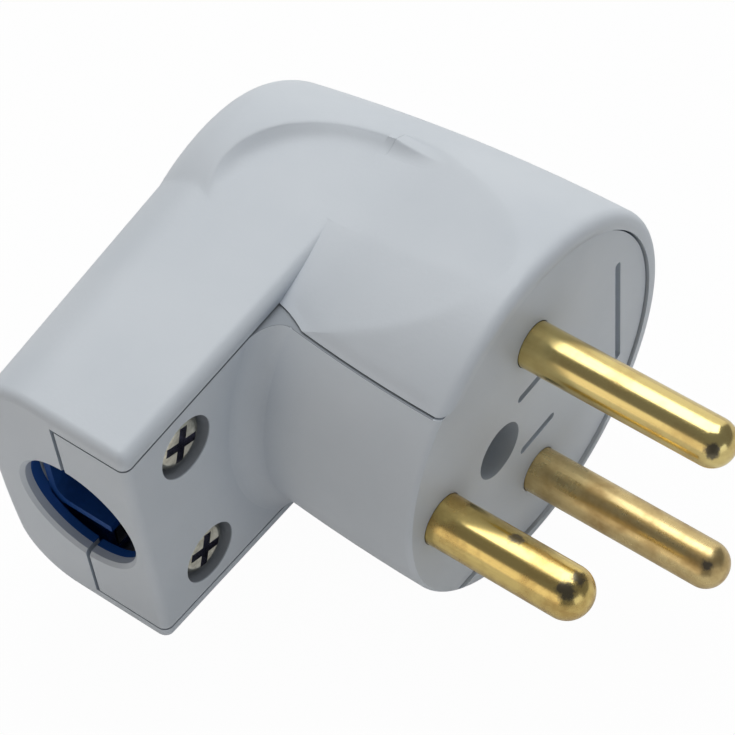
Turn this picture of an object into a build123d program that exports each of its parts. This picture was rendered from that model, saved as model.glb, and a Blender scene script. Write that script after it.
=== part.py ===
"""Angled three-pin mains plug, rewirable, in millimetres.

X runs along the handle to the cord entry, Y points out along the pins and Z
runs across the two live pins. The origin is the centre hole in the pin face.
"""
import math
import os

from build123d import *

os.makedirs("parts", exist_ok=True)

# Round housing
drum_r = 19.0
drum_x = -5.9
barrel_drop = 4.4
barrel_trim = 2.6
front_edge_r = 1.0
rim_wall = 1.85
rim_proud = 0.3
back_depth = 36.1
back_slope = 3.7
crown_r = 70.0
back_edge_r = 5.6
handle_back_r = 6.2

# Handle
handle_depth = 18.6
end_x = 26.0
end_half = 14.3
handle_edge_r = 1.2
end_edge_r = 0.9
cove_r = 2.2

# Thumb scoops in the two sides
scoop_in = 3.3
scoop_x = -1.5
scoop_depth = 19.6
scoop_r = 12.3
scoop_cove_r = 2.6
scoop_front = 20.0
blend_r = 25.0
ramp_angle = 12.0
shoulder_r = 36.0
shoulder_x = -7.5
shoulder_rise = 0.08

# Walls and fits
wall = 1.9
face_t = 3.2
plate_t = 2.4
drum_back_t = 3.0
handle_back_t = 4.1
ledge_w = 1.5
draw_in = 2.4
fit_gap = 0.2
end_gap = 0.45
pin_clear = 0.06
screw_clear = 0.08

# Pins
pin_r = 2.25
pin_len = 20.4
pin_x = -5.5
pin_half = 9.5
earth_r = 2.5
earth_len = 15.5
earth_x = 8.57
block = 6.0
block_len = 9.0
tip_flat = 0.1
neck_step = 0.2
wire_r = 1.35
wire_in = 3.24
frame_wall = 1.2
frame_h = 1.6

# Terminal screws
thread_r = 1.5
term_head_r = 2.4
term_head_h = 1.8
slot_w = 0.7

# Case screws, nuts and cord clamp
case_x = 19.0
case_half = 8.2
recess_r = 3.1
head_r = 2.9
head_h = 1.9
head_sink = 0.5
head_round = 1.3
cross_r = 1.9
cross_w = 0.95
cross_depth = 1.2
cross_turn = 20.0
thread_past = 1.0
boss_r = 4.2
seat_t = 1.4
nut_side = 5.5
nut_t = 2.4
nut_gap = 2.6
post_wall = 1.0
tip_room = 1.5
clamp_w = 6.0
clamp_t = 2.4
clamp_half = 11.0
clamp_corner_r = 1.5
saddle_r = 4.9
saddle_depth = 0.9

# Cord channel under the clamp
channel_wall = 0.85
channel_floor = 0.8
channel_corner_r = 1.5
channel_gap = 0.3

# Centre screw
centre_r = 2.87
centre_sink = 9.0
centre_post_r = 4.3
centre_head_r = 2.6
centre_head_h = 2.0
centre_thread = 9.0
post_depth = 14.0

# Cord entry
cord_r = 6.2
cord_depth = 26.4
cord_chamfer = 0.35

# Face marks
mark_w = 0.85
mark_depth = 0.5
mark_half = 3.9
mark_x0 = -8.2
mark_x1 = -3.0
bar_x = -18.5
bar_half = 7.0

# Sizes that follow from the ones above
face_r = drum_r - rim_wall
plate_back = handle_depth + plate_t
head_top = handle_depth + head_sink
head_seat = head_top + head_h
boss_end = head_seat + seat_t
clamp_back = boss_end + clamp_t
post_top = clamp_back + nut_gap
post_half = nut_side / 2 + post_wall
term_end = face_t + block_len
wire_depth = face_t + wire_in
cavity_depth = back_depth - drum_back_t
handle_cavity = back_depth - handle_back_t
back_tan = math.tan(math.radians(back_slope))
barrel_len = back_depth + (end_x - drum_x + drum_r) * back_tan + barrel_trim
barrel_curve = ((barrel_len + rim_proud) ** 2 + barrel_drop**2) / (2 * barrel_drop)
side_slope = (drum_r - scoop_in - end_half) / (end_x - drum_x)
crown_half = 1.5 * drum_r
crown_rise = crown_r - math.sqrt(crown_r**2 - crown_half**2)


def side(x):
    """Half width of the handle at x."""
    return end_half + (end_x - x) * side_slope


def barrel(depth):
    """Radius of the round housing at a depth behind the pin face."""
    return drum_r - barrel_curve + math.sqrt(barrel_curve**2 - (depth + rim_proud) ** 2)


def seam(x, gap=0.0):
    """Half width of the front body's handle plate at x."""
    return side(x) - wall + gap


def deep(depth):
    """Plane across the pins at a depth behind the pin face."""
    return Plane.XZ.offset(depth)


# Form of the back: sloped along the handle and gently crowned across it
back_plane = Plane(origin=(end_x, -back_depth, 0), x_dir=(0, 0, 1), z_dir=(-1, -back_tan, 0))
with BuildPart() as back_form:
    with BuildSketch(back_plane):
        with BuildLine():
            ThreePointArc((-crown_half, crown_rise), (0, 0), (crown_half, crown_rise))
            Polyline(
                (crown_half, crown_rise),
                (crown_half, 2 * barrel_len),
                (-crown_half, 2 * barrel_len),
                (-crown_half, crown_rise),
            )
        make_face()
    extrude(amount=2 * barrel_len, both=True)

# Handle: a tapered block, well rounded at the back and softened on the pin side
with BuildPart() as handle_block:
    with BuildSketch(deep(handle_depth)):
        with BuildLine():
            Polyline(
                (drum_x, -side(drum_x)),
                (end_x, -end_half),
                (end_x, end_half),
                (drum_x, side(drum_x)),
                close=True,
            )
        make_face()
    extrude(amount=barrel_len - handle_depth)
    add(back_form.part, mode=Mode.INTERSECT)
    block_back = handle_block.faces().sort_by(Axis.Y)[0]
    fillet(block_back.edges().filter_by(lambda e: abs(e.center().Z) > end_half / 2), handle_back_r)
    block_front = handle_block.faces().sort_by(Axis.Y)[-1]
    fillet(block_front.edges().filter_by(lambda e: abs(e.center().Z) > end_half / 2), handle_edge_r)

# Thumb scoops: the handle's flat sides run on into the barrel and end in a
# coved arc on the far side and a softer cove towards the pins
ramp_sin = math.sin(math.radians(ramp_angle))
ramp_cos = math.cos(math.radians(ramp_angle))
blend_run = blend_r * ramp_sin
blend_h = blend_r * (1 - ramp_cos)
ramp_run = blend_run + (drum_r - blend_h) * ramp_cos / ramp_sin
blend_start = scoop_front - scoop_depth
shoulder_z = side(shoulder_x) + shoulder_rise - shoulder_r
scoops = []
for turn in (1, -1):
    flat_plane = Plane(
        origin=(scoop_x, -scoop_depth, turn * side(scoop_x)),
        x_dir=(1, 0, -turn * side_slope),
        z_dir=(side_slope, 0, turn),
    )
    cup_plane = Plane(origin=flat_plane.origin, x_dir=flat_plane.x_dir, z_dir=-flat_plane.y_dir)
    long_plane = Plane(origin=flat_plane.origin, x_dir=(0, -1, 0), z_dir=-flat_plane.x_dir)
    with BuildPart() as scoop:
        with BuildSketch(cup_plane):
            with BuildLine():
                Polyline((0, drum_r), (0, 0), (scoop_r - scoop_cove_r, 0))
                RadiusArc((scoop_r - scoop_cove_r, 0), (scoop_r, scoop_cove_r), -scoop_cove_r)
                Polyline((scoop_r, scoop_cove_r), (scoop_r, drum_r), (0, drum_r))
            make_face()
        revolve(axis=Axis(flat_plane.origin, flat_plane.z_dir))
        with BuildSketch(long_plane):
            with BuildLine():
                Polyline((-scoop_r, 0), (scoop_r - scoop_cove_r, 0))
                RadiusArc((scoop_r - scoop_cove_r, 0), (scoop_r, turn * scoop_cove_r), -turn * scoop_cove_r)
                Polyline(
                    (scoop_r, turn * scoop_cove_r),
                    (scoop_r, turn * drum_r),
                    (-scoop_r, turn * drum_r),
                    (-scoop_r, 0),
                )
            make_face()
        extrude(amount=scoop_x - end_x)
        with BuildSketch(long_plane):
            with BuildLine():
                Polyline(
                    (0, 0),
                    (blend_start - ramp_run, 0),
                    (blend_start - ramp_run, turn * drum_r),
                    (0, turn * drum_r),
                    close=True,
                )
            make_face()
        extrude(amount=3 * drum_r, both=True)
        with BuildSketch(long_plane):
            with BuildLine():
                Line((blend_start - ramp_run, turn * drum_r), (blend_start - blend_run, turn * blend_h))
                RadiusArc((blend_start - blend_run, turn * blend_h), (blend_start, 0), -turn * blend_r)
                Polyline(
                    (blend_start, 0),
                    (2 * barrel_len, 0),
                    (2 * barrel_len, turn * drum_r),
                    (blend_start - ramp_run, turn * drum_r),
                )
            make_face()
        extrude(amount=3 * drum_r, both=True, mode=Mode.INTERSECT)
    shoulder_plane = Plane(
        origin=(shoulder_x, -scoop_front, turn * shoulder_z), x_dir=(0, 0, turn), z_dir=(turn, 0, 0)
    )
    with BuildPart() as shoulder:
        with BuildSketch(shoulder_plane):
            with BuildLine():
                RadiusArc((shoulder_r, 0), (shoulder_r + blend_h, -blend_run), -blend_r)
                Polyline(
                    (shoulder_r + blend_h, -blend_run),
                    (shoulder_r + drum_r, -ramp_run),
                    (shoulder_r + drum_r, 0),
                    (shoulder_r, 0),
                )
            make_face()
        revolve(axis=Axis(shoulder_plane.origin, (0, turn, 0)), revolution_arc=90)
    scoops.append(shoulder)
    scoops.append(scoop)

# Outside form of the whole housing: a barrel with a flat-sided handle
with BuildPart() as envelope:
    with BuildSketch(Plane.XY):
        with BuildLine():
            Line((drum_x, rim_proud), (drum_x + drum_r, rim_proud))
            ThreePointArc(
                (drum_x + drum_r, rim_proud),
                (drum_x + barrel(barrel_len / 2), -barrel_len / 2),
                (drum_x + barrel(barrel_len), -barrel_len),
            )
            Line((drum_x + barrel(barrel_len), -barrel_len), (drum_x, -barrel_len))
            Line((drum_x, -barrel_len), (drum_x, rim_proud))
        rim_face = make_face()
        fillet(rim_face.vertices().sort_by(Axis.Y)[-2:].sort_by(Axis.X)[-1:], front_edge_r)
    revolve(axis=Axis((drum_x, 0, 0), (0, 1, 0)))
    add(back_form.part, mode=Mode.INTERSECT)
    fillet(envelope.faces().sort_by(Axis.Y)[0].edges(), back_edge_r)
    for scoop in scoops:
        add(scoop.part, mode=Mode.SUBTRACT)
    add(handle_block.part)
    end_face = envelope.faces().sort_by(Axis.X)[-1]
    fillet(end_face.edges(), end_edge_r)


def strip(start, gap=0.0):
    """Outline points of the handle plate from x = start to the cord end."""
    return [
        (start, -seam(start, gap)),
        (end_x + 1, -seam(end_x + 1, gap)),
        (end_x + 1, seam(end_x + 1, gap)),
        (start, seam(start, gap)),
    ]


# Front body: pin face, round skirt, handle plate and half of the cord end
inner_r = drum_r - wall
earth_block_x = (centre_post_r + drum_x + inner_r) / 2
terminals = [(pin_x, pin_half), (pin_x, -pin_half), (earth_block_x, 0)]
case_spots = [(case_x, case_half), (case_x, -case_half)]
cord_plane = Plane(origin=(end_x, -cord_depth, 0), x_dir=(0, 0, 1), z_dir=(1, 0, 0))

# Cove where the round skirt runs into the handle plate
root_r = drum_x + barrel(handle_depth)
top_r = drum_x + barrel(handle_depth - cove_r)
with BuildPart() as skirt_cove:
    with BuildSketch(Plane.XY):
        with BuildLine():
            RadiusArc((root_r + cove_r, -handle_depth), (top_r, cove_r - handle_depth), cove_r)
            Polyline(
                (top_r, cove_r - handle_depth),
                (root_r - wall / 4, cove_r - handle_depth),
                (root_r - wall / 4, -handle_depth - plate_t / 2),
                (root_r + cove_r, -handle_depth - plate_t / 2),
                (root_r + cove_r, -handle_depth),
            )
        make_face()
    revolve(axis=Axis((drum_x, 0, 0), (0, 1, 0)))
    with BuildSketch(deep(0)):
        with BuildLine():
            Polyline(*strip(0), close=True)
        make_face()
    extrude(amount=plate_back, mode=Mode.INTERSECT)

with BuildPart() as front_body:
    with BuildSketch(deep(0)):
        with Locations((drum_x, 0)):
            Circle(face_r)
        with BuildLine():
            Polyline(*strip(0), close=True)
        make_face()
    extrude(amount=face_t)
    with BuildSketch(deep(face_t)):
        with BuildLine():
            Polyline(*strip(0), close=True)
        make_face()
        with Locations((drum_x, 0)):
            Circle(drum_r + 1, mode=Mode.INTERSECT)
            Circle(inner_r, mode=Mode.SUBTRACT)
    extrude(amount=plate_back - face_t)
    with BuildSketch(deep(handle_depth)):
        with BuildLine():
            Polyline(*strip(0), close=True)
        make_face()
        with Locations((drum_x, 0)):
            Circle(inner_r, mode=Mode.SUBTRACT)
    extrude(amount=plate_t)
    with BuildSketch(deep(handle_depth)):
        with BuildLine():
            Polyline(*strip(end_x - wall), close=True)
        make_face()
    extrude(amount=cord_depth - handle_depth)
    with BuildSketch(deep(plate_back)):
        with Locations(*case_spots):
            Circle(boss_r)
    extrude(amount=boss_end - plate_back)
    with BuildSketch(deep(face_t)):
        Circle(centre_post_r)
    extrude(amount=post_depth - face_t)
    with BuildSketch(deep(face_t)):
        with Locations(*terminals):
            Rectangle(block + 2 * (fit_gap + frame_wall), block + 2 * (fit_gap + frame_wall))
    extrude(amount=frame_h)
    add(envelope.part, mode=Mode.INTERSECT)
    add(skirt_cove.part)
    with BuildSketch(deep(face_t)):
        with Locations(*terminals):
            Rectangle(block + 2 * fit_gap, block + 2 * fit_gap)
    extrude(amount=block_len, mode=Mode.SUBTRACT)
    with BuildSketch(deep(0)):
        with Locations((pin_x, pin_half), (pin_x, -pin_half)):
            Circle(pin_r + pin_clear)
        with Locations((earth_x, 0)):
            Circle(earth_r + pin_clear)
    extrude(amount=face_t, mode=Mode.SUBTRACT)
    with BuildSketch(deep(0)):
        Circle(centre_r)
    extrude(amount=centre_sink + centre_head_h, mode=Mode.SUBTRACT)
    with BuildSketch(deep(0)):
        Circle(thread_r + screw_clear)
    extrude(amount=post_depth, mode=Mode.SUBTRACT)
    with BuildSketch(deep(handle_depth)):
        with Locations(*case_spots):
            Circle(recess_r)
    extrude(amount=head_seat - handle_depth, mode=Mode.SUBTRACT)
    with BuildSketch(deep(handle_depth)):
        with Locations(*case_spots):
            Circle(thread_r + screw_clear)
    extrude(amount=boss_end - handle_depth, mode=Mode.SUBTRACT)
    with BuildSketch(cord_plane):
        Circle(cord_r)
    extrude(amount=-2 * wall, mode=Mode.SUBTRACT)
    with BuildSketch(cord_plane):
        Circle(cord_r + cord_chamfer)
    with BuildSketch(cord_plane.offset(-cord_chamfer)):
        Circle(cord_r)
    loft(mode=Mode.SUBTRACT)
    with BuildSketch(deep(0)):
        with Locations(((mark_x0 + mark_x1) / 2, mark_half), ((mark_x0 + mark_x1) / 2, -mark_half)):
            SlotOverall(mark_x1 - mark_x0, mark_w)
        with Locations((bar_x, 0)):
            SlotOverall(2 * bar_half, mark_w, rotation=90)
    extrude(amount=mark_depth, mode=Mode.SUBTRACT)

# Rear cover: round wall with its rim, back, and the handle's two side walls
with BuildPart() as rear_cover:
    add(envelope.part)
    with BuildSketch(deep(-1)):
        with Locations((drum_x, 0)):
            Circle(face_r + fit_gap)
    extrude(amount=1 + face_t, mode=Mode.SUBTRACT)
    with BuildSketch(deep(-1)):
        with BuildLine():
            Polyline(*strip(0, fit_gap), close=True)
        make_face()
    extrude(amount=1 + plate_back, mode=Mode.SUBTRACT)
    with BuildSketch(deep(handle_depth)):
        with BuildLine():
            Polyline(*strip(end_x - wall - fit_gap, fit_gap), close=True)
        make_face()
    extrude(amount=cord_depth + end_gap - handle_depth, mode=Mode.SUBTRACT)
    with BuildSketch(deep(face_t)):
        with Locations((drum_x, 0)):
            Circle(face_r - ledge_w)
    with BuildSketch(deep(cavity_depth)):
        with Locations((drum_x, 0)):
            Circle(face_r - ledge_w - draw_in)
    loft(mode=Mode.SUBTRACT)
    with BuildSketch(deep(plate_back)):
        with BuildLine():
            Polyline(
                (0, -seam(0)),
                (end_x - wall, -seam(end_x - wall)),
                (end_x - wall, seam(end_x - wall)),
                (0, seam(0)),
                close=True,
            )
        make_face()
        with Locations((drum_x, 0)):
            Circle(inner_r - draw_in - ledge_w, mode=Mode.SUBTRACT)
    extrude(amount=handle_cavity - plate_back, mode=Mode.SUBTRACT)
    with BuildSketch(deep(post_top)):
        with Locations(*case_spots):
            Rectangle(2 * post_half, 2 * post_half)
    extrude(amount=(handle_cavity + back_depth) / 2 - post_top)
    with BuildSketch(deep(post_depth)):
        Circle(centre_post_r)
    extrude(amount=(cavity_depth + back_depth) / 2 - post_depth)
    with BuildSketch(deep(post_top)):
        with Locations(*case_spots):
            Rectangle(nut_side + 2 * fit_gap, nut_side + 2 * fit_gap)
    extrude(amount=nut_t, mode=Mode.SUBTRACT)
    with BuildSketch(deep(post_top)):
        with Locations(*case_spots):
            Circle(thread_r + screw_clear)
    extrude(amount=nut_t + tip_room, mode=Mode.SUBTRACT)
    with BuildSketch(deep(post_depth)):
        Circle(thread_r + screw_clear)
    extrude(amount=centre_sink + centre_head_h + centre_thread + tip_room - post_depth, mode=Mode.SUBTRACT)
    with BuildSketch(cord_plane):
        Circle(cord_r)
    extrude(amount=-2 * wall, mode=Mode.SUBTRACT)
    with BuildSketch(cord_plane):
        Circle(cord_r + cord_chamfer)
    with BuildSketch(cord_plane.offset(-cord_chamfer)):
        Circle(cord_r)
    loft(mode=Mode.SUBTRACT)


# Pins: turned brass rod with a square terminal block behind the face
pins = {}
for node, x, z, block_x, r, length in (
    ("line_pin", pin_x, pin_half, pin_x, pin_r, pin_len),
    ("neutral_pin", pin_x, -pin_half, pin_x, pin_r, pin_len),
    ("earth_pin", earth_x, 0, earth_block_x, earth_r, earth_len),
):
    with BuildPart() as pin:
        with BuildSketch(deep(0)):
            with Locations((x, z)):
                Circle(r)
        extrude(amount=-length)
        fillet(pin.faces().sort_by(Axis.Y)[-1].edges(), r - tip_flat)
        with BuildSketch(deep(0)):
            with Locations((x, z)):
                Circle(r - neck_step)
        extrude(amount=face_t)
        with BuildSketch(deep(face_t)):
            with Locations((block_x, z)):
                Rectangle(block, block)
        extrude(amount=block_len)
        with BuildSketch(Plane(origin=(block_x, -wire_depth, z), z_dir=(1, 0, 0))):
            Circle(wire_r)
        extrude(amount=block, both=True, mode=Mode.SUBTRACT)
        with BuildSketch(deep(term_end)):
            with Locations((block_x, z)):
                Circle(thread_r + screw_clear)
        extrude(amount=wire_depth - term_end, mode=Mode.SUBTRACT)
    pins[node] = pin

# Terminal screws, put in from behind, with slotted heads
term_screws = {}
for node, (x, z) in zip(("line_screw", "neutral_screw", "earth_screw"), terminals):
    with BuildPart() as term_screw:
        with BuildSketch(deep(term_end)):
            with Locations((x, z)):
                Circle(term_head_r)
        extrude(amount=term_head_h)
        with BuildSketch(deep(term_end)):
            with Locations((x, z)):
                Circle(thread_r)
        extrude(amount=wire_depth + wire_r - term_end)
        with BuildSketch(deep(term_end + term_head_h)):
            with Locations((x, z)):
                Rectangle(2 * term_head_r, slot_w)
        extrude(amount=-term_head_h / 2, mode=Mode.SUBTRACT)
    term_screws[node] = term_screw

# Centre screw, deep in the pin face, drawing the two halves together
with BuildPart() as centre_screw:
    with BuildSketch(deep(centre_sink)):
        Circle(centre_head_r)
    extrude(amount=centre_head_h)
    with BuildSketch(deep(centre_sink + centre_head_h)):
        Circle(thread_r)
    extrude(amount=centre_thread)
    with BuildSketch(deep(centre_sink)):
        Rectangle(2 * centre_head_r, slot_w)
    extrude(amount=centre_head_h / 2, mode=Mode.SUBTRACT)

# Case screws with domed cross heads, and their square nuts in the cover's posts
case_screws = {}
nuts = {}
for side_name, (x, z) in zip(("upper", "lower"), case_spots):
    with BuildPart() as case_screw:
        with BuildSketch(deep(head_seat)):
            with Locations((x, z)):
                Circle(head_r)
        extrude(amount=-head_h)
        fillet(case_screw.faces().sort_by(Axis.Y)[-1].edges(), head_round)
        with BuildSketch(deep(head_seat)):
            with Locations((x, z)):
                Circle(thread_r)
        extrude(amount=post_top + nut_t + thread_past - head_seat)
        with BuildSketch(deep(head_top)):
            with Locations(Location((x, z), cross_turn)):
                Rectangle(2 * cross_r, cross_w)
                Rectangle(cross_w, 2 * cross_r)
        extrude(amount=cross_depth, mode=Mode.SUBTRACT)
    case_screws[side_name + "_case_screw"] = case_screw
    with BuildPart() as nut:
        with BuildSketch(deep(post_top)):
            with Locations((x, z)):
                Rectangle(nut_side, nut_side)
                Circle(thread_r + screw_clear, mode=Mode.SUBTRACT)
        extrude(amount=nut_t)
    nuts[side_name + "_nut"] = nut

# Cord clamp: a bar across the cord, pulled down by the case screws
with BuildPart() as cord_clamp:
    with BuildSketch(deep(boss_end)):
        with Locations((case_x, 0)):
            RectangleRounded(clamp_w, 2 * clamp_half, clamp_corner_r)
        with Locations(*case_spots):
            Circle(thread_r + screw_clear, mode=Mode.SUBTRACT)
    extrude(amount=clamp_t)
    with BuildSketch(Plane(origin=(case_x, -clamp_back - saddle_r + saddle_depth, 0), z_dir=(1, 0, 0))):
        Circle(saddle_r)
    extrude(amount=clamp_w, both=True, mode=Mode.SUBTRACT)

# Cord channel: a moulded trough between the cover's posts that the cord lies in
channel_half = case_half - post_half - fit_gap
channel_x0 = case_x - post_half
channel_x1 = end_x - wall - fit_gap
channel_top = clamp_back + channel_gap
channel_plane = Plane(origin=(channel_x0, -handle_cavity, 0), x_dir=(0, 0, -1), z_dir=(1, 0, 0))
channel_h = handle_cavity - channel_top
with BuildPart() as cord_channel:
    with BuildSketch(channel_plane):
        Rectangle(2 * channel_half, channel_h, align=(Align.CENTER, Align.MIN))
        with Locations((0, channel_floor)):
            Rectangle(
                2 * (channel_half - channel_wall),
                channel_h,
                align=(Align.CENTER, Align.MIN),
                mode=Mode.SUBTRACT,
            )
    extrude(amount=channel_x1 - channel_x0)
    long_edges = cord_channel.edges().filter_by(Axis.X).sort_by(Axis.Y)
    fillet(long_edges.filter_by(lambda e: abs(abs(e.center().Z) - channel_half) > channel_wall / 2)[:2], channel_corner_r)

pieces = {"rear_cover": rear_cover, "front_body": front_body, **pins, **term_screws}
pieces.update({"centre_screw": centre_screw, **case_screws, **nuts, "cord_clamp": cord_clamp})
pieces["cord_channel"] = cord_channel
for node, piece in pieces.items():
    piece.part.label = node
    export_step(piece.part, f"parts/{node}.step")
    print(node, round(piece.part.volume, 1), len(piece.part.solids()), piece.part.is_valid)
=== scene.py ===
import math

import bmesh
import bpy
from mathutils import Matrix, Vector


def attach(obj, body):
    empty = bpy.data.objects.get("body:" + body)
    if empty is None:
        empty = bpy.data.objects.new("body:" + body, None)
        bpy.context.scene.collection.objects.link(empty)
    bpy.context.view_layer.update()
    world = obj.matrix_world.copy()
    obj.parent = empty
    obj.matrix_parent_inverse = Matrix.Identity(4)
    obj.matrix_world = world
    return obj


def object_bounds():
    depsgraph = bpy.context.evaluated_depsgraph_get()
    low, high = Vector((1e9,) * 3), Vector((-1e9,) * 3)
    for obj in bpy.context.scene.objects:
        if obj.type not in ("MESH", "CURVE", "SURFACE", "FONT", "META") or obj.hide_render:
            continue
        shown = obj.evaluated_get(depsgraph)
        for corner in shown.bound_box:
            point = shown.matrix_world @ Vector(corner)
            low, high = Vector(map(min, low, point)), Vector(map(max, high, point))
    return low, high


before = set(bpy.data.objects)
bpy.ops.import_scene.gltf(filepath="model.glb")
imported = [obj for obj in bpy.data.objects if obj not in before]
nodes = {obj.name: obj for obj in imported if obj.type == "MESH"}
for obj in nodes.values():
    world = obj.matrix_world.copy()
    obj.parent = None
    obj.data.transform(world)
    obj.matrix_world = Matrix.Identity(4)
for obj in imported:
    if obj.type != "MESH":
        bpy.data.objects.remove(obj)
cad_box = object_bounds()


# Rear cover: the white outer shell, moulded in one piece in a satin plastic.
# It holds the round barrel, the back and the handle's side walls. Its colour
# is painted a little greyer in the corners than on the open faces, a painted shade.
class Tone:
    """A socket of a shader tree. Arithmetic on it adds Math nodes."""

    def __init__(self, tree, socket):
        self.tree = tree
        self.socket = socket

    def node(self, kind, settings, sockets, out=0):
        """Adds a node: its settings first, then its socket values or links."""
        made = self.tree.nodes.new(kind)
        for name, value in settings.items():
            if name == "stops":
                ramp = made.color_ramp.elements
                while len(ramp) < len(value):
                    ramp.new(0.5)
                for stop, (place, shade) in zip(ramp, value):
                    stop.position = place
                    stop.color = (shade, shade, shade, 1.0)
            else:
                setattr(made, name, value)
        for name, value in sockets.items():
            if isinstance(value, Tone):
                self.tree.links.new(value.socket, made.inputs[name])
            else:
                made.inputs[name].default_value = value
        return Tone(self.tree, made.outputs[out])

    def maths(self, operation, first, second):
        return self.node("ShaderNodeMath", {"operation": operation}, {0: first, 1: second})

    def __add__(self, other):
        return self.maths("ADD", self, other)

    __radd__ = __add__

    def __mul__(self, other):
        return self.maths("MULTIPLY", self, other)

    __rmul__ = __mul__

    def __sub__(self, other):
        return self.maths("SUBTRACT", self, other)

    def __rsub__(self, other):
        return self.maths("SUBTRACT", other, self)

    def noise(self, size, detail=2.0, rough=0.5):
        """Smooth noise over the piece, with spots of about the given size in metres."""
        sockets = {"Vector": self, "Scale": 1.0 / size, "Detail": detail, "Roughness": rough}
        return self.node("ShaderNodeTexNoise", {}, sockets, out="Fac")

    def steps(self, *stops):
        return self.node("ShaderNodeValToRGB", {"stops": stops}, {"Fac": self})

    def blend(self, low, high):
        """Mixes two colours by this value: low at 0, high at 1."""
        ends = [end if isinstance(end, Tone) else (*end, 1.0) for end in (low, high)]
        sockets = {0: self, 6: ends[0], 7: ends[1]}
        return self.node("ShaderNodeMix", {"data_type": "RGBA"}, sockets, out=2)

    def axes(self):
        """The three coordinates of a vector."""
        split = self.tree.nodes.new("ShaderNodeSeparateXYZ")
        self.tree.links.new(self.socket, split.inputs[0])
        return [Tone(self.tree, socket) for socket in split.outputs]

    def between(self, low, high):
        """One where the value lies between the two limits, else nought."""
        return self.maths("GREATER_THAN", self, low) * self.maths("LESS_THAN", self, high)

    def ramp(self, start, end):
        """Rises from nought at the start to one at the end."""
        sockets = {"Value": self, "From Min": start, "From Max": end}
        return self.node("ShaderNodeMapRange", {}, sockets)

    def stretch(self, *scale):
        """The same coordinates, drawn out by a scale along each axis."""
        return self.node("ShaderNodeMapping", {}, {"Vector": self, "Scale": scale})


def start_material(name):
    """A new material, its shader node and the piece's own coordinates."""
    material = bpy.data.materials.new(name)
    material.use_nodes = True
    tree = material.node_tree
    shader = tree.nodes["Principled BSDF"]
    place = tree.nodes.new("ShaderNodeTexCoord").outputs["Object"]
    return material, shader, Tone(tree, place)


def feed(shader, **values):
    """Links or sets the shader's sockets, named with underscores for spaces."""
    for name, value in values.items():
        socket = shader.inputs[name.replace("_", " ")]
        if isinstance(value, Tone):
            value.tree.links.new(value.socket, socket)
        else:
            socket.default_value = value


cord_axis_y, cord_bore_r = -0.0264, 0.00632
case_screw_x, case_screw_z = 0.019, 0.0082
well_r = 0.00315
handle_taper = 0.0439
lining_shade_blue = (0.012, 0.085, 0.33)
corner_shade_grey = (0.54, 0.585, 0.645)
seam_shade_grey = (0.31, 0.335, 0.365)
well_shade_grey = (0.30, 0.32, 0.36)


def moulded_white(name, dark, light, rolled):
    """Satin white plastic: faint cloudiness, a fine moulded grain, soft gloss.

    The inside of the handle and the bore of the cord entry are painted dark blue, a
    painted shade. Rolled plastic is softened where the thumb scoops run out into the
    barrel. The rest has painted shade: it is greyer on the walls that face the seam
    and in the wells of the case screws.
    """
    material, shader, place = start_material(name)
    cloud = place.noise(0.012, detail=3.0)
    grain = place.noise(0.00045, detail=3.0, rough=0.6)
    speck = place.noise(0.0016, detail=4.0, rough=0.65)
    smudge = cloud.steps((0.35, 0.0), (0.75, 1.0))
    x, y, z = place.axes()
    # Painted shade: the cord bore and the inside of the handle are painted dark blue.
    from_bore = (y - cord_axis_y) * (y - cord_axis_y) + z * z
    bore = x.between(0.0238, 0.0249) * from_bore.between(-1.0, cord_bore_r**2)
    cavity = x.between(0.002, 0.0242) * y.between(-0.0322, -0.0209) * z.between(-0.0124, 0.0124)
    painted_lining_shade = bore.maths("MAXIMUM", bore, cavity)
    tall = z.maths("ABSOLUTE", z, 0.0)
    # Painted shade: an ambient occlusion node greys the colour in corners and creases.
    corner = place.node("ShaderNodeAmbientOcclusion", {"samples": 8}, {"Distance": 0.007}, out="AO")
    painted_corner_shade = corner.ramp(0.95, 0.45)
    white = painted_corner_shade.blend(smudge.blend(light, dark), corner_shade_grey)
    heights = {"Strength": 0.08, "Distance": 0.0002, "Height": grain * 0.7 + speck * 0.3}
    if rolled:
        high = tall.ramp(0.0137, 0.0148)
        shoulder = y.ramp(-0.0178, -0.0170) * y.ramp(-0.0012, -0.0022)
        far = x.ramp(-0.0045, -0.0060)
        back = x.ramp(0.0060, 0.0045) * y.ramp(-0.0262, -0.0275)
        swept = shoulder.maths("MAXIMUM", shoulder.maths("MAXIMUM", shoulder, far), back)
        step = x.between(-0.0160, -0.0100) * y.between(-0.0204, -0.0188)
        round_off = high * swept * (1.0 - step)
        crisp = place.node("ShaderNodeNewGeometry", {}, {}, out="Normal")
        soft = place.node("ShaderNodeBevel", {"samples": 6}, {"Radius": 0.0014})
        sockets = {0: round_off, 4: crisp, 5: soft}
        heights["Normal"] = place.node("ShaderNodeMix", {"data_type": "VECTOR"}, sockets, out=1)
    else:
        # Painted shade: the faces seen down the seam gap are painted darker grey.
        seam = (tall + x * handle_taper).between(0.01351, 0.0142) * y.between(-0.0400, -0.0007)
        white = seam.blend(white, seam_shade_grey)
        # Painted shade: the walls of the case screws' wells are painted darker grey.
        along, aside = x - case_screw_x, tall - case_screw_z
        from_screw = along * along + aside * aside
        well_shade = y.between(-0.0250, -0.01872) * from_screw.between(-1.0, well_r**2)
        white = well_shade.blend(white, well_shade_grey)
    relief = place.node("ShaderNodeBump", {}, heights)
    feed(
        shader,
        Base_Color=painted_lining_shade.blend(white, lining_shade_blue),
        Roughness=0.36 + speck * 0.10 + cloud * 0.06,
        Normal=relief,
    )
    return material


def dress(name, material):
    """Gives a CAD node its finish."""
    slots = nodes[name].data.materials
    slots.clear()
    slots.append(material)


cover_shades = (0.71, 0.745, 0.785), (0.76, 0.79, 0.825)
cover_white = moulded_white("cover_white", *cover_shades, True)
dress("rear_cover", cover_white)


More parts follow.
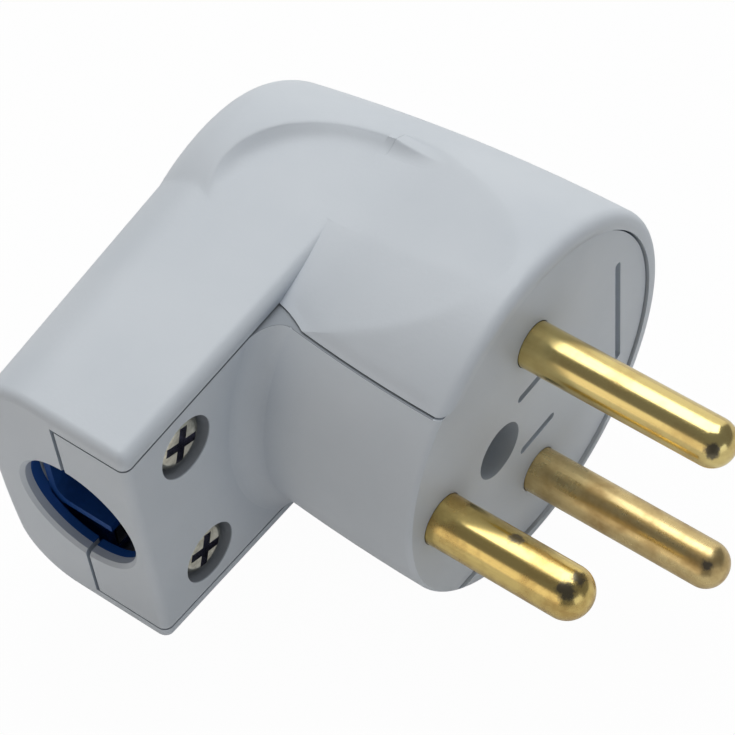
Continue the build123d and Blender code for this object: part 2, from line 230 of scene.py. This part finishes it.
# Scoop fillets: two slender ridges of the same white plastic, one on each side of
# the housing. Each one fades the far wall of a thumb scoop out towards the pins.
# They are moulded on, so their height is taken from the cover's own skin.
fillet_white = moulded_white("fillet_white", *cover_shades, False)
wall_depth = 0.0196
fillet_run = 0.0060
fillet_start, fillet_end = -0.0111, -0.0142
fillet_edge, fillet_sink, fillet_root = 0.000003, 0.00002, 0.0002
hair = 0.00002
long_steps, wide_steps = 24, 24


def cover_skin(x, depth, side):
    """Half the cover's thickness at a place, found by a ray from outside."""
    found = nodes["rear_cover"].ray_cast((x, -depth, side * 0.03), (0, 0, -side))
    return abs(found[1].z)


fillet = bmesh.new()
for side in (1, -1):
    crown, bed = [], []
    for i in range(long_steps + 1):
        run = i / long_steps
        depth = wall_depth - hair - fillet_run * run
        fade = 1.0 - run * run * (3.0 - 2.0 * run)
        crown.append([])
        bed.append([])
        for j in range(wide_steps + 1):
            x = fillet_start + (fillet_end - fillet_start) * j / wide_steps
            skin = cover_skin(x, depth, side)
            wall = cover_skin(x, wall_depth + hair, side)
            step = max(wall - cover_skin(x, wall_depth - 2.5 * hair, side), 0.0)
            height = skin + step * fade - fillet_edge - fillet_sink * run
            crown[i].append(fillet.verts.new((x, -depth, side * height)))
            bed[i].append(fillet.verts.new((x, -depth, side * (skin - fillet_root))))
    for sheet in (crown, bed):
        for i in range(long_steps):
            for j in range(wide_steps):
                fillet.faces.new((sheet[i][j], sheet[i][j + 1], sheet[i + 1][j + 1], sheet[i + 1][j]))
    for i in range(long_steps):
        for j in (0, wide_steps):
            fillet.faces.new((crown[i][j], crown[i + 1][j], bed[i + 1][j], bed[i][j]))
    for j in range(wide_steps):
        for i in (0, long_steps):
            fillet.faces.new((crown[i][j], crown[i][j + 1], bed[i][j + 1], bed[i][j]))
bmesh.ops.recalc_face_normals(fillet, faces=fillet.faces)
fillet_mesh = bpy.data.meshes.new("scoop_fillets")
fillet.to_mesh(fillet_mesh)
fillet.free()
fillet_mesh.shade_smooth()
fillet_mesh.set_sharp_from_angle(angle=math.radians(40))
fillet_mesh.materials.append(fillet_white)
scoop_fillets = bpy.data.objects.new("scoop_fillets", fillet_mesh)
bpy.context.scene.collection.objects.link(scoop_fillets)
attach(scoop_fillets, "root")


# Front body: the second white moulding, which carries the pin face and the
# handle's pin-side plate. It is the same plastic, from another tool, and it
# nests between the cover's walls with a thin gap all round.
body_white = moulded_white("body_white", (0.69, 0.725, 0.76), (0.745, 0.775, 0.81), False)
dress("front_body", body_white)


# Pins: turned brass rod with a rounded tip. Fine rings run round each one and
# faint scratches along it. Use has left the brass dull in patches. Near-black
# spots are painted on the pins, mostly on the tips, as a painted reflection.
def turned_brass(name, bright, brown, tarnish, gloss, reflection_spots):
    material, shader, place = start_material(name)
    along = place.axes()[1]
    rings = along.node(
        "ShaderNodeTexNoise",
        {"noise_dimensions": "1D"},
        {"W": along, "Scale": 9000.0, "Detail": 2.0, "Roughness": 0.6},
        out="Fac",
    )
    streak = place.stretch(1.0, 0.06, 1.0).noise(0.0007, detail=3.0, rough=0.6)
    drawn = streak.steps((0.40, 0.0), (0.72, 1.0))
    patch = place.noise(0.0032, detail=4.0, rough=0.6).steps((0.46, 0.0), (0.70, 1.0))
    dull = patch * tarnish + drawn * 0.25
    ragged = place.noise(0.0007, detail=3.0, rough=0.6) - 0.5
    # Painted reflection: near-black spots of dark surroundings at the listed places.
    reflection_marks = []
    for centre, size in reflection_spots:
        ends = {0: place, 1: centre}
        reach = place.node("ShaderNodeVectorMath", {"operation": "DISTANCE"}, ends, out=1)
        reflection_marks.append((reach + ragged * size * 1.8).ramp(size, size * 0.55))
    dark_reflection = reflection_marks[0]
    for mark in reflection_marks[1:]:
        dark_reflection = dark_reflection.maths("MAXIMUM", dark_reflection, mark)
    relief = place.node(
        "ShaderNodeBump",
        {},
        {"Strength": 0.06, "Distance": 0.00006, "Height": rings * 0.6 + streak * 0.6},
    )
    feed(
        shader,
        Base_Color=(dark_reflection * 0.85).blend(dull.blend(bright, brown), (0.10, 0.095, 0.09)),
        Roughness=gloss + rings * 0.05 + dull * 0.22 + dark_reflection * 0.10,
        Metallic=1.0,
        Normal=relief,
    )
    return material


# Painted reflection spots for each pin: a centre and a size.
line_reflection_spots = [((-0.0039, 0.0191, 0.0108), 0.0008)]
line_brass = turned_brass(
    "brass_line", (0.85, 0.68, 0.28), (0.46, 0.27, 0.08), 0.35, 0.15, line_reflection_spots
)
dress("line_pin", line_brass)
neutral_reflection_spots = [((-0.0044, 0.0189, -0.0077), 0.0006)]
neutral_brass = turned_brass(
    "brass_neutral", (0.74, 0.57, 0.27), (0.46, 0.30, 0.12), 0.75, 0.24, neutral_reflection_spots
)
dress("neutral_pin", neutral_brass)
earth_reflection_spots = [
    ((0.0078, 0.0075, 0.0024), 0.0008),
    ((0.0097, 0.0137, 0.0021), 0.0010),
    ((0.0081, 0.0139, 0.0023), 0.0008),
]
earth_brass = turned_brass(
    "brass_earth", (0.83, 0.63, 0.23), (0.44, 0.26, 0.08), 0.60, 0.15, earth_reflection_spots
)
dress("earth_pin", earth_brass)


# Case screws: nickel-plated steel with domed cross heads, sunk in round wells.
# The plating is a warm grey, scuffed where a driver has turned it. The crosses
# are painted dark, a painted shade in their recesses.
cross_r = 0.00198
cross_painted_shade = (0.50, 0.50, 0.56)


def plated(name, dark, light, gloss):
    material, shader, place = start_material(name)
    scuff = place.noise(0.0008, detail=4.0, rough=0.65)
    worn = scuff.steps((0.40, 0.0), (0.70, 1.0))
    x, y, z = place.axes()
    along, aside = x - case_screw_x, z.maths("ABSOLUTE", z, 0.0) - case_screw_z
    from_screw = along * along + aside * aside
    # Painted shade: the cross recesses of the case screws are painted dark.
    cross_shade_mask = y.between(-0.0206, -0.01918) * from_screw.between(-1.0, cross_r**2)
    relief = place.node(
        "ShaderNodeBump",
        {},
        {"Strength": 0.12, "Distance": 0.00008, "Height": scuff},
    )
    feed(
        shader,
        Base_Color=cross_shade_mask.blend(worn.blend(light, dark), cross_painted_shade),
        Roughness=gloss + scuff * 0.14,
        Metallic=1.0,
        Normal=relief,
    )
    return material


nickel = plated("nickel_plate", (0.46, 0.43, 0.34), (0.78, 0.75, 0.64), 0.13)
for screw in ("upper_case_screw", "lower_case_screw", "centre_screw"):
    dress(screw, nickel)


# Terminal screws and square nuts: zinc-plated steel, hidden inside the housing
# behind the pins and in the cover's two posts.
zinc = plated("zinc_plate", (0.40, 0.40, 0.39), (0.62, 0.62, 0.61), 0.28)
for piece in ("line_screw", "neutral_screw", "earth_screw", "upper_nut", "lower_nut"):
    dress(piece, zinc)


# Cord clamp: a bar moulded in a tough plastic, coloured dark blue as a painted shade
# inside the cord entry. The case screws pull it down on the cord behind the cord entry.
def shade_blue_plastic(name):
    material, shader, place = start_material(name)
    grain = place.noise(0.0006, detail=3.0, rough=0.6)
    relief = place.node(
        "ShaderNodeBump",
        {},
        {"Strength": 0.15, "Distance": 0.0002, "Height": grain},
    )
    feed(
        shader,
        Base_Color=grain.blend((0.006, 0.055, 0.23), (0.012, 0.085, 0.33)),
        Roughness=0.42 + grain * 0.16,
        Normal=relief,
    )
    return material


# Painted shade: the clamp and the channel are coloured dark blue for the shade inside the cord entry.
blue = shade_blue_plastic("cord_shade_blue")
for piece in ("cord_clamp", "cord_channel"):
    dress(piece, blue)


# Floor: a plain pale sweep under the plug that stays white in the picture and
# keeps a soft share of the plug's shadow.
floor_z = cad_box[0][2] - 0.0002
floor_half = 3.0
floor_mesh = bpy.data.meshes.new("floor")
floor_mesh.from_pydata(
    [(x * floor_half, y * floor_half, floor_z) for x, y in ((-1, -1), (1, -1), (1, 1), (-1, 1))],
    [],
    [(0, 1, 2, 3)],
)
floor = bpy.data.objects.new("floor", floor_mesh)
bpy.context.scene.collection.objects.link(floor)
paper, paper_shader, paper_place = start_material("paper_white")
feed(paper_shader, Base_Color=(0.86, 0.86, 0.86, 1.0), Roughness=0.9)
light_path = paper.node_tree.nodes.new("ShaderNodeLightPath").outputs
seen = Tone(paper.node_tree, light_path["Is Camera Ray"])
mirrored = Tone(paper.node_tree, light_path["Is Glossy Ray"])
glow = seen.node("ShaderNodeEmission", {}, {"Color": (1.0, 1.0, 1.0, 1.0), "Strength": 1.0})
share = seen * 0.975 + mirrored * 0.20
surface = Tone(paper.node_tree, paper_shader.outputs["BSDF"])
mixed = seen.node("ShaderNodeMixShader", {}, {0: share, 1: surface, 2: glow})
paper.node_tree.links.new(mixed.socket, paper.node_tree.nodes["Material Output"].inputs["Surface"])
floor_mesh.materials.append(paper)


# Light: a wide soft box above the back, a pale wall beyond the barrel, a smaller
# warm box beyond the cord end, a weak blue one in front of the pins and a dim room.
def soft_box(name, place, aim, size, power, colour):
    data = bpy.data.lights.new(name, "AREA")
    data.shape = "RECTANGLE"
    data.size, data.size_y = size
    data.energy = power
    data.color = colour
    lamp = bpy.data.objects.new(name, data)
    lamp.location = place
    lamp.rotation_euler = (Vector(aim) - Vector(place)).to_track_quat("-Z", "Y").to_euler()
    bpy.context.scene.collection.objects.link(lamp)


soft_box("top_box", (-0.22, -0.13, 0.54), (0, -0.01, 0), (0.55, 0.45), 2.1, (0.95, 0.98, 1.0))
soft_box("wall_box", (-0.85, -0.33, 0.32), (0, -0.01, 0), (0.9, 0.8), 1.5, (1.0, 0.99, 0.95))
soft_box("end_box", (0.60, -0.10, 0.12), (0, -0.01, 0), (0.4, 0.4), 0.42, (1.0, 0.91, 0.80))
soft_box("pin_box", (0.12, 0.65, 0.12), (0, -0.01, 0), (0.4, 0.3), 0.34, (0.86, 0.93, 1.0))
world = bpy.data.worlds.new("room")
world.use_nodes = True
room = world.node_tree.nodes["Background"]
room.inputs["Color"].default_value = (0.93, 0.96, 1.0, 1.0)
room.inputs["Strength"].default_value = 0.19
bpy.context.scene.world = world
bpy.context.scene.view_settings.view_transform = "Standard"


# Camera: above the cord end, looking down on the pins.
camera_data = bpy.data.cameras.new("camera")
camera_data.sensor_width = 36.0
camera_data.lens = 130.9957
camera_data.shift_x = -0.194582
camera_data.shift_y = 0.059929
camera_data.clip_start = 0.01
camera_right = Vector((-0.5770590, 0.8161087, -0.0311375))
camera_up = Vector((-0.6750005, -0.4551268, 0.5807185))
camera_back = Vector((0.4597579, 0.3561266, 0.8135088))
camera = bpy.data.objects.new("camera", camera_data)
turn = Matrix((camera_right, camera_up, camera_back)).transposed().to_4x4()
camera.matrix_world = Matrix.Translation((0.1048247, 0.0826215, 0.1925244)) @ turn
bpy.context.scene.collection.objects.link(camera)
bpy.context.scene.camera = camera
